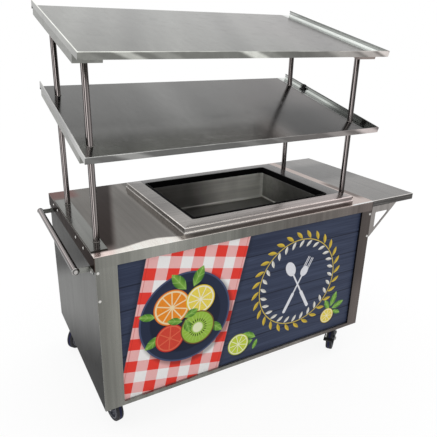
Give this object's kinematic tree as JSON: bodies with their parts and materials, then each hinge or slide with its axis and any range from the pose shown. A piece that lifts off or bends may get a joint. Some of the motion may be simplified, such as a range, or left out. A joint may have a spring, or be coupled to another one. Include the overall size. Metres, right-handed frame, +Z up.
{
  "type": "food serving cart",
  "caption": "Cold food serving cart: closed front, open storage bay, counter with a cold well, two sloping display shelves, end shelf, handle and swivel casters.",
  "frame": {"origin": "on the floor, below the centre of the whole cart's bounding box", "axes": "+X to the right as seen from the closed front, +Y from the closed front to the open back, +Z up"},
  "size_m": [1.7555, 0.8323, 1.7548],
  "materials": {
    "cabinet_steel": "brushed stainless steel with the grain upright",
    "counter_steel": "brushed stainless steel with the grain along the counter",
    "well_steel": "brushed stainless steel, polished in the corners",
    "jacket_steel": "galvanised sheet steel",
    "shelf_steel": "brushed stainless steel with the grain from front to back",
    "dark_rail": "dark stained steel",
    "tube_steel": "polished stainless tube",
    "bolt_steel": "bright steel",
    "valve_brass": "cast brass",
    "lever_paint": "blue dipped steel",
    "printed_panel": "printed and laminated sheet",
    "black_strip": "black extruded vinyl",
    "insulation": "foamed insulation",
    "caster_zinc": "bright zinc plated steel",
    "wheel_core": "moulded plastic",
    "tyre": "dark rubber tread",
    "pedal": "black painted steel"
  },
  "bodies": {
    "cabinet": {"bottom_pan": "cabinet_steel", "caster_channels": "cabinet_steel", "left_side_panel": "cabinet_steel", "right_side_panel": "cabinet_steel", "front_frame": "cabinet_steel", "graphic_panel": "printed_panel", "panel_clips": "cabinet_steel", "rear_top_rail": "cabinet_steel", "counter_braces": "cabinet_steel", "stile_screws": "bolt_steel", "counter_top": "counter_steel", "left_edge_rail": "dark_rail", "right_edge_rail": "dark_rail", "rail_bolts": "bolt_steel", "well_curb": "counter_steel", "well_gasket": "black_strip", "well_liner": "well_steel", "well_insulation": "insulation", "well_jacket": "jacket_steel", "drain_fitting": "bolt_steel", "drain_valve": "valve_brass", "drain_outlet": "bolt_steel", "left_foot_plate": "counter_steel", "right_foot_plate": "counter_steel", "front_left_upright": "tube_steel", "back_left_upright": "tube_steel", "front_right_upright": "tube_steel", "back_right_upright": "tube_steel", "lower_shelf": "shelf_steel", "upper_shelf": "shelf_steel", "lower_shelf_channels": "shelf_steel", "upper_shelf_channels": "shelf_steel", "handle_tube": "tube_steel", "handle_caps": "tube_steel", "handle_arms": "tube_steel", "handle_bolts": "bolt_steel", "end_shelf": "counter_steel", "shelf_brackets": "counter_steel", "caster_plates": "caster_zinc", "caster_bolts": "bolt_steel"},
    "drain_handle": {"drain_ball": "bolt_steel", "drain_lever": "lever_paint"},
    "front_left_swivel": {"front_left_fork": "caster_zinc", "front_left_axle": "caster_zinc"},
    "front_left_roller": {"front_left_wheel": "wheel_core", "front_left_tyre": "tyre"},
    "front_left_brake": {"front_left_pedal": "pedal"},
    "front_right_swivel": {"front_right_fork": "caster_zinc", "front_right_axle": "caster_zinc"},
    "front_right_roller": {"front_right_wheel": "wheel_core", "front_right_tyre": "tyre"},
    "front_right_brake": {"front_right_pedal": "pedal"},
    "back_left_swivel": {"back_left_fork": "caster_zinc", "back_left_axle": "caster_zinc"},
    "back_left_roller": {"back_left_wheel": "wheel_core", "back_left_tyre": "tyre"},
    "back_right_swivel": {"back_right_fork": "caster_zinc", "back_right_axle": "caster_zinc"},
    "back_right_roller": {"back_right_wheel": "wheel_core", "back_right_tyre": "tyre"}
  },
  "joints": [
    {"name": "drain_valve_turn", "type": "hinge", "parent": "cabinet", "child": "drain_handle", "pos_m": [-0.27125, -0.21703, 0.6218], "axis": [0, 1, 0], "range_deg": [0, 90]},
    {"name": "front_left_swivel_turn", "type": "hinge", "parent": "cabinet", "child": "front_left_swivel", "pos_m": [-0.72925, -0.32103, 0.15], "axis": [0, 0, 1], "continuous": true},
    {"name": "front_left_wheel_spin", "type": "hinge", "parent": "front_left_swivel", "child": "front_left_roller", "pos_m": [-0.73533, -0.28657, 0.0635], "axis": [-0.9848, -0.1736, 0], "continuous": true},
    {"name": "front_left_brake_press", "type": "hinge", "parent": "front_left_swivel", "child": "front_left_brake", "pos_m": [-0.73585, -0.28361, 0.1035], "axis": [-0.9848, -0.1736, 0], "range_deg": [0, 12]},
    {"name": "front_right_swivel_turn", "type": "hinge", "parent": "cabinet", "child": "front_right_swivel", "pos_m": [0.51475, -0.32103, 0.15], "axis": [0, 0, 1], "continuous": true},
    {"name": "front_right_wheel_spin", "type": "hinge", "parent": "front_right_swivel", "child": "front_right_roller", "pos_m": [0.4868, -0.3421, 0.0635], "axis": [0.6018, -0.7986, 0], "continuous": true},
    {"name": "front_right_brake_press", "type": "hinge", "parent": "front_right_swivel", "child": "front_right_brake", "pos_m": [0.4844, -0.3439, 0.1035], "axis": [0.6018, -0.7986, 0], "range_deg": [0, 12]},
    {"name": "back_left_swivel_turn", "type": "hinge", "parent": "cabinet", "child": "back_left_swivel", "pos_m": [-0.72925, 0.32697, 0.15], "axis": [0, 0, 1], "continuous": true},
    {"name": "back_left_wheel_spin", "type": "hinge", "parent": "back_left_swivel", "child": "back_left_roller", "pos_m": [-0.75606, 0.30447, 0.0635], "axis": [0.6428, -0.766, 0], "continuous": true},
    {"name": "back_right_swivel_turn", "type": "hinge", "parent": "cabinet", "child": "back_right_swivel", "pos_m": [0.51475, 0.32697, 0.15], "axis": [0, 0, 1], "continuous": true},
    {"name": "back_right_wheel_spin", "type": "hinge", "parent": "back_right_swivel", "child": "back_right_roller", "pos_m": [0.48444, 0.34447, 0.0635], "axis": [-0.5, -0.866, 0], "continuous": true}
  ]
}
